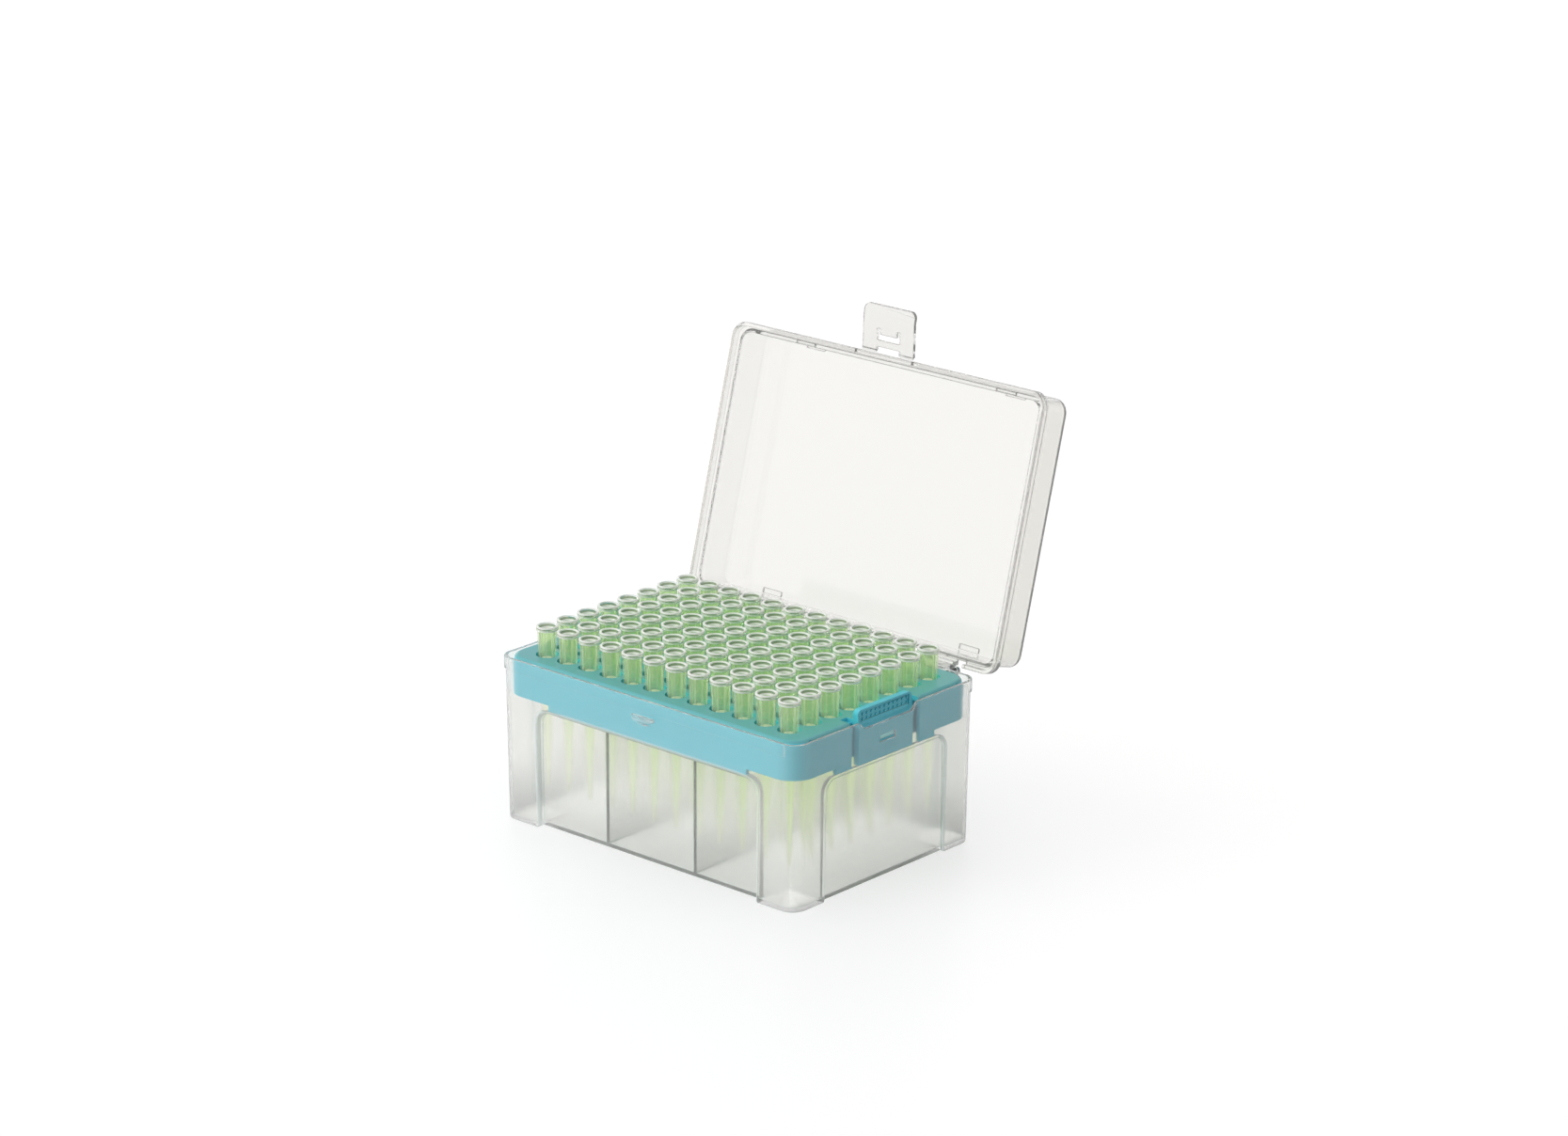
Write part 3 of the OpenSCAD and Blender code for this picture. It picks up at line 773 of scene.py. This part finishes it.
def filter_material(tone):
    """Sintered white filter, with fine pores."""
    s = Shading("Porous filter")
    pores = s.node("ShaderNodeTexVoronoi", Vector=s.place, Scale=5200.0).outputs["Distance"]
    cloud = s.noise(700, 2, 0.5)
    s.feed(
        Base_Color=s.tones(cloud, shade(tone, 0.94), tone),
        Normal=s.bump(pores, 0.06 * MM, 0.7),
    )
    s.fix(
        Roughness=0.85,
        Subsurface_Weight=0.25,
        Subsurface_Radius=(0.4, 0.4, 0.35),
        Subsurface_Scale=MM,
    )
    return s.material


# ---- The tips ----


def turned_shell(name, outline, sides):
    """Closed shell turned from an outline of (radius, height) points that ends where it began."""
    clear_selection()
    radius, height = outline[0]
    bpy.ops.mesh.primitive_circle_add(
        vertices=sides, radius=radius, fill_type="NOTHING", location=(0, 0, height)
    )
    piece = bpy.context.object
    name_piece(piece, name)
    place_in_mesh(piece)
    bpy.ops.object.mode_set(mode="EDIT")
    bpy.ops.mesh.select_all(action="SELECT")
    for wide, high in outline[1:] + outline[:1]:
        bpy.ops.mesh.extrude_edges_move(
            TRANSFORM_OT_translate={"value": (0, 0, high - height)}
        )
        bpy.ops.transform.resize(
            value=(wide / radius, wide / radius, 1), center_override=(0, 0, high)
        )
        radius, height = wide, high
    bpy.ops.mesh.select_all(action="SELECT")
    bpy.ops.mesh.remove_doubles(threshold=0.005 * MM)
    bpy.ops.mesh.normals_make_consistent(inside=False)
    bpy.ops.object.mode_set(mode="OBJECT")
    return piece


def body_radius(s, depth):
    """Outer radius of a tip's body at a depth below its mouth."""
    return s.body_top + (s.body_low - s.body_top) * depth / s.collar


def bore_radius(s, depth):
    """Radius of a tip's bore at a depth below its mouth."""
    return body_radius(s, depth) - s.wall


def tip_outline(s):
    """Outline of a tip, down its outside and up its bore, with the mouth at height 0."""
    bead, low, neck = s.bead_radius, s.bead_height, s.bead_height + 0.2 * MM
    outside = [
        (s.mouth_radius + 0.12 * MM, 0),
        (bead - 0.25 * MM, -0.01 * MM),
        (bead - 0.07 * MM, -0.09 * MM),
        (bead, -0.26 * MM),
        (bead, -low + 0.22 * MM),
        (bead - 0.08 * MM, -low + 0.06 * MM),
        (bead - 0.25 * MM, -low),
        (body_radius(s, low) + 0.08 * MM, -low - 0.03 * MM),
        (body_radius(s, neck), -neck),
        (body_radius(s, s.collar / 2), -s.collar / 2),
        (s.body_low, -s.collar),
        (s.end_radius, -s.length + 0.12 * MM),
        (s.end_radius - 0.08 * MM, -s.length),
    ]
    bore = [
        (s.end_radius / 2, -s.length),
        (bore_radius(s, s.collar), -s.collar),
        (bore_radius(s, s.collar / 2), -s.collar / 2),
        (bore_radius(s, s.lead_in), -s.lead_in),
        (bore_radius(s, s.lead_in) + 0.22 * MM, -1.15 * MM),
        (s.mouth_radius, -0.12 * MM),
    ]
    return outside + bore


def raise_fins(piece, s):
    """Draws the collar's fins out of its wall, one face wide each."""
    select_only(piece)
    step, half = 2 * math.pi / s.fins, math.pi / s.sides

    def on_a_fin(face):
        middle = face.calc_center_median()
        outward = face.normal.x * middle.x + face.normal.y * middle.y > 0
        off = (math.atan2(middle.y, middle.x) - half + step / 2) % step - step / 2
        high = -s.collar < middle.z < -s.bead_height - 0.05 * MM
        return high and outward and abs(off) < half / 2

    bpy.ops.object.mode_set(mode="EDIT")
    choose(piece, "faces", on_a_fin)
    bpy.ops.mesh.extrude_region_move(TRANSFORM_OT_translate={"value": (0, 0, 0)})
    reach = s.fin_reach / s.body_top
    bpy.ops.transform.resize(value=(reach, reach, 1), center_override=(0, 0, 0))
    bpy.ops.object.mode_set(mode="OBJECT")


def model_tip(s):
    """One tip with its bead, fins, cone and bore, its mouth at the origin."""
    tip = turned_shell("tip_pattern", tip_outline(s), s.sides)
    raise_fins(tip, s)
    stands_out = 1.1

    def in_mouth(face):
        outward = face.normal.x * face.center.x + face.normal.y * face.center.y
        return outward < 0 and -s.bead_height < face.center.z < -0.12 * MM

    def on_fin(face):
        reach = math.hypot(face.center.x, face.center.y)
        wall = body_radius(s, -face.center.z) * stands_out
        return -s.collar < face.center.z < -s.bead_height and reach > wall

    mark_faces(tip, "inside", in_mouth)
    mark_faces(tip, "fin", on_fin)
    select_only(tip)
    bpy.ops.object.shade_smooth_by_angle(angle=math.radians(38))
    return tip


def model_filter(s):
    """One filter plug with rounded ends, its top at the origin."""
    height = FILTER_HIGH.z - FILTER_LOW.z
    depth = TIP_HIGH.z - FILTER_HIGH.z
    play, end_area = 0.05 * MM, 1 * MM * MM
    clear_selection()
    bpy.ops.mesh.primitive_cone_add(
        vertices=24,
        radius1=bore_radius(s, depth + height) - play,
        radius2=bore_radius(s, depth) - play,
        depth=height,
        end_fill_type="NGON",
        location=(0, 0, -height / 2),
    )
    plug_pattern = bpy.context.object
    name_piece(plug_pattern, "filter_pattern")
    place_in_mesh(plug_pattern)
    bpy.ops.object.mode_set(mode="EDIT")
    choose(plug_pattern, "faces", lambda face: abs(face.normal.z) > 0.9)
    bpy.ops.mesh.bevel(offset=0.22 * MM, segments=2, affect="EDGES")
    choose(
        plug_pattern,
        "faces",
        lambda face: face.normal.z > 0.9 and face.calc_area() > end_area,
    )
    bpy.ops.mesh.inset(thickness=0.5 * MM)
    bpy.ops.transform.translate(value=(0, 0, 0.1 * MM))
    bpy.ops.object.mode_set(mode="OBJECT")
    bpy.ops.object.shade_smooth_by_angle(angle=math.radians(50))
    return plug_pattern


def copies_in_column(pattern, name, places, draw):
    """One column of copies of a pattern, each with a turn of its own, joined as one piece."""
    made = []
    for place in places:
        select_only(pattern)
        bpy.ops.object.duplicate()
        copy = bpy.context.object
        copy.rotation_euler.z = draw.uniform(0, 2 * math.pi)
        copy.location = place
        place_in_mesh(copy)
        made.append(copy)
    select_only(*made)
    bpy.ops.object.join()
    joined = bpy.context.object
    name_piece(joined, name)
    return joined


def grid_places(column, height):
    """The eight places of a column of the grid, at a height."""
    x = TIP_MIDDLE.x + column * TIP_PITCH
    first = TIP_MIDDLE.y - (ROWS - 1) / 2 * TIP_PITCH
    return [Vector((x, first + row * TIP_PITCH, height)) for row in range(ROWS)]


def fill_grid(pattern, kind, height, seed, material, slot):
    """Copies a pattern to every place of the grid, one piece to a column, and removes it."""
    draw = random.Random(seed)
    for column in range(COLUMNS):
        number = f"{column + 1:02d}"
        places = grid_places(column, height)
        piece = copies_in_column(pattern, f"{kind}_{number}", places, draw)
        dress(piece, material, slot, "base", f"{kind}_column_{number}")
    bpy.data.objects.remove(pattern)


# ---- Operators ----


class TIPBOX_OT_base(bpy.types.Operator):
    """Model the frosted base box."""

    bl_idname = "tipbox.base"
    bl_label = "Base Box"

    def execute(self, context):
        s = context.scene.tipbox_moulding
        tones = context.scene.tipbox_colours
        piece = copy_node("base_box", "frosted_base_box")
        round_arch(piece, 1, s.arch_half_l, s.arch_top, s.arch_edge)
        round_arch(piece, 0, s.arch_half_w, s.arch_top, s.arch_edge_end)
        soften_edges(piece, s.base_edge)
        mark_faces(piece, "side", lambda face: abs(face.normal.z) < 0.5)
        mark_faces(piece, "end", lambda face: abs(face.normal.x) > 0.5)
        mark_faces(piece, "nose", on_nose)
        plastic = frosted_plastic(tuple(tones.base), RACK_LOW.z)
        dress(piece, plastic, "frosted_base", "base", "base_box")
        return {"FINISHED"}


class TIPBOX_OT_rack(bpy.types.Operator):
    """Model the blue tip rack."""

    bl_idname = "tipbox.rack"
    bl_label = "Tip Rack"

    def execute(self, context):
        s = context.scene.tipbox_moulding
        tones = context.scene.tipbox_colours
        piece = copy_node("tip_rack", "blue_tip_rack")
        soften_edges(piece, s.rack_edge)
        mark_faces(piece, "nib", on_nib)
        mark_faces(piece, "dot", beside_dot)
        mark_faces(piece, "plate", on_plate)
        plastic = rack_plastic(tuple(tones.rack))
        dress(piece, plastic, "blue_rack", "base", "tip_rack")
        webs = slot_webs("slot_webs", s.web_depth, s.web_thickness, s.web_width, s.web_lift)
        dress(webs, plastic, "blue_rack", "base")
        return {"FINISHED"}


class TIPBOX_OT_lid(bpy.types.Operator):
    """Model the clear lid and its folding latch flap."""

    bl_idname = "tipbox.lid"
    bl_label = "Lid and Latch Flap"

    def execute(self, context):
        s = context.scene.tipbox_moulding
        tone = tuple(context.scene.tipbox_colours.lid)
        lid = copy_node("lid", "clear_lid")
        soften_edges(lid, s.lid_edge)
        dress(lid, clear_plastic("Clear lid plastic", tone), "clear_lid", "lid", "lid")
        flap = copy_node("latch_flap", "clear_latch_flap")
        soften_edges(flap, s.flap_edge)
        # painted shade: the flap has the lid's plastic, toned darker
        plastic = clear_plastic("Clear flap plastic", shade(tone, 0.93))
        dress(flap, plastic, "clear_lid", "latch", "latch_flap")
        return {"FINISHED"}


class TIPBOX_OT_tips(bpy.types.Operator):
    """Model the 96 tips, as twelve columns of eight."""

    bl_idname = "tipbox.tips"
    bl_label = "Pipette Tips"

    def execute(self, context):
        s = context.scene.tipbox_tip
        tone = tuple(context.scene.tipbox_colours.tip)
        plastic = tip_plastic(tone, TIP_HIGH.z, s.bead_height, TIP_HIGH.z - s.above_plate)
        fill_grid(model_tip(s), "tips", TIP_HIGH.z, 9, plastic, "green_tip")
        return {"FINISHED"}


class TIPBOX_OT_filters(bpy.types.Operator):
    """Model the filter plug of each tip."""

    bl_idname = "tipbox.filters"
    bl_label = "Filter Plugs"

    def execute(self, context):
        material = filter_material(tuple(context.scene.tipbox_colours.plug))
        pattern = model_filter(context.scene.tipbox_tip)
        fill_grid(pattern, "filters", FILTER_HIGH.z, 5, material, "filter")
        return {"FINISHED"}


class TIPBOX_OT_stage(bpy.types.Operator):
    """Set up the floor, the soft studio light and the camera."""

    bl_idname = "tipbox.stage"
    bl_label = "Studio"

    def execute(self, context):
        s = context.scene.tipbox_stage
        make_floor(BASE_LOW, BASE_HIGH)
        make_world(s.fill)
        for name, place, part in LAMPS:
            make_softbox(name, place, s.key_power * part)
        make_camera(s)
        scene = context.scene
        scene.view_settings.view_transform = "Standard"
        for name, count in BOUNCES.items():
            setattr(scene.cycles, name, count)
        scene.cycles.caustics_refractive = False
        scene.cycles.caustics_reflective = False
        return {"FINISHED"}


# ---- The studio ----


def seen_ray(tree, mirrored):
    """1 for rays from the camera or through clear plastic, and a chosen share for mirrored ones."""
    path = add_node(tree, "ShaderNodeLightPath").outputs
    direct = calc(tree, "MAXIMUM", path["Is Camera Ray"], path["Is Transmission Ray"])
    return calc(tree, "MAXIMUM", direct, calc(tree, "MULTIPLY", path["Is Glossy Ray"], mirrored))


def make_world(fill):
    """Soft studio light, stronger from the front left, with a banded background of its own."""
    world = bpy.context.scene.world or bpy.data.worlds.new("Studio")
    bpy.context.scene.world = world
    world.use_nodes = True
    tree = world.node_tree
    tree.nodes.clear()
    place = add_node(tree, "ShaderNodeTexCoord").outputs["Generated"]
    height = add_node(tree, "ShaderNodeSeparateXYZ", place).outputs["Z"]
    band = add_node(tree, "ShaderNodeValToRGB", height)
    stops = band.color_ramp.elements
    for step, (position, tone) in enumerate(BACKGROUND):
        stop = stops[step] if step < 2 else stops.new(position)
        stop.position = position
        stop.color = (tone, tone, tone, 1)
    side = add_node(tree, "ShaderNodeVectorMath", place, LIT_SIDE, operation="DOT_PRODUCT")
    slope = add_node(
        tree,
        "ShaderNodeMapRange",
        Value=side.outputs["Value"],
        From_Min=-0.7,
        From_Max=0.7,
        To_Min=0.1 * fill,
        To_Max=1.7 * fill,
    )
    strength = slope.outputs["Result"]
    even = add_node(tree, "ShaderNodeBackground", Color=(1, 1, 1, 1), Strength=strength)
    white = add_node(tree, "ShaderNodeBackground", Color=band.outputs["Color"])
    mix = add_node(
        tree, "ShaderNodeMixShader", seen_ray(tree, 1), even.outputs[0], white.outputs[0]
    )
    add_node(tree, "ShaderNodeOutputWorld", Surface=mix.outputs[0])


def make_floor(base_low, base_high):
    """Large pale floor that keeps the object's shadow, with a painted glow under the base that
    shines up into it for rays through its clear plastic.
    """
    clear_selection()
    bpy.ops.mesh.primitive_plane_add(size=12, location=(0, 0, 0))
    floor = bpy.context.object
    name_piece(floor, "Floor")
    s = Shading("Pale floor")
    s.fix(Base_Color=(0.5, 0.5, 0.5, 1), Roughness=0.32, Specular_IOR_Level=0.35)
    cover = s.node("ShaderNodeVectorMath", s.place, operation="ABSOLUTE")
    parts = s.node("ShaderNodeSeparateXYZ", cover.outputs["Vector"]).outputs
    full, none = 6 * MM, 3 * MM
    under_x = s.spread(parts["X"], 1, 0, base_high.x - full, base_high.x - none)
    under_y = s.spread(parts["Y"], 1, 0, -base_low.y - full, -base_low.y - none)
    passing = s.node("ShaderNodeLightPath").outputs["Is Transmission Ray"]
    # painted glow: only under the base, only for rays through clear plastic
    inside = s.product(s.product(under_x, under_y), passing)
    plain = calc(s.tree, "MULTIPLY", seen_ray(s.tree, 0.4), FLOOR_GLOW)
    strength = calc(s.tree, "MULTIPLY_ADD", inside, BASE_PAINTED_GLOW, plain)
    glow = s.node("ShaderNodeEmission", Strength=strength)
    both = s.node("ShaderNodeAddShader", s.shader.outputs[0], glow.outputs[0])
    s.tree.links.new(both.outputs[0], s.output.inputs["Surface"])
    floor.data.materials.append(s.material)


def make_softbox(name, place, power):
    """A square soft lamp that faces the middle of the box."""
    light = bpy.data.lights.new(name, "AREA")
    light.size = LAMP_SIZE
    light.energy = power
    lamp = bpy.data.objects.new(name, light)
    bpy.context.scene.collection.objects.link(lamp)
    lamp.location = place
    lamp.visible_glossy = False
    lamp.visible_transmission = False
    aim = Vector(LAMP_AIM) - Vector(place)
    lamp.rotation_euler = aim.to_track_quat("-Z", "Y").to_euler()


def make_camera(s):
    """Camera on a line from its target, by azimuth, elevation and roll."""
    data = bpy.data.cameras.new("Camera")
    camera = bpy.data.objects.new("Camera", data)
    bpy.context.scene.collection.objects.link(camera)
    a, e, r = s.azimuth, s.elevation, s.roll
    back = Vector((math.sin(a) * math.cos(e), -math.cos(a) * math.cos(e), math.sin(e)))
    right = Vector((0, 0, 1)).cross(back).normalized()
    up = back.cross(right)
    across = right * math.cos(r) + up * math.sin(r)
    above = up * math.cos(r) - right * math.sin(r)
    turn = Matrix((across, above, back)).transposed()
    camera.rotation_mode = "QUATERNION"
    camera.rotation_quaternion = turn.to_quaternion()
    camera.location = Vector(s.target) + back * s.distance
    data.lens = s.lens
    data.sensor_width = 36
    data.clip_start = 0.01
    data.clip_end = 30
    bpy.context.scene.camera = camera


# ---- Panel and registration ----


class TIPBOX_PT_panel(bpy.types.Panel):
    """Lists the pieces of the tip box."""

    bl_label = "Tip Box"
    bl_idname = "TIPBOX_PT_panel"
    bl_space_type = "VIEW_3D"
    bl_region_type = "UI"
    bl_category = "Tip Box"

    def draw(self, context):
        for step in STEPS:
            self.layout.operator(step.bl_idname)


STEPS = (
    TIPBOX_OT_base,
    TIPBOX_OT_rack,
    TIPBOX_OT_tips,
    TIPBOX_OT_filters,
    TIPBOX_OT_lid,
    TIPBOX_OT_stage,
)
SETTINGS = {
    "tipbox_moulding": MouldingSettings,
    "tipbox_tip": TipSettings,
    "tipbox_colours": ColourSettings,
    "tipbox_stage": StageSettings,
}


def register():
    """Registers the settings, the operators and the panel."""
    for name, group in SETTINGS.items():
        bpy.utils.register_class(group)
        setattr(bpy.types.Scene, name, bpy.props.PointerProperty(type=group))
    for step in STEPS:
        bpy.utils.register_class(step)
    bpy.utils.register_class(TIPBOX_PT_panel)


def unregister():
    """Takes back what register added."""
    bpy.utils.unregister_class(TIPBOX_PT_panel)
    for step in reversed(STEPS):
        bpy.utils.unregister_class(step)
    for name, group in SETTINGS.items():
        delattr(bpy.types.Scene, name)
        bpy.utils.unregister_class(group)


def main():
    """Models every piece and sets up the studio."""
    register()
    bpy.ops.tipbox.base()
    bpy.ops.tipbox.rack()
    bpy.ops.tipbox.tips()
    bpy.ops.tipbox.filters()
    bpy.ops.tipbox.lid()
    bpy.ops.tipbox.stage()


if __name__ == "__main__":
    main()
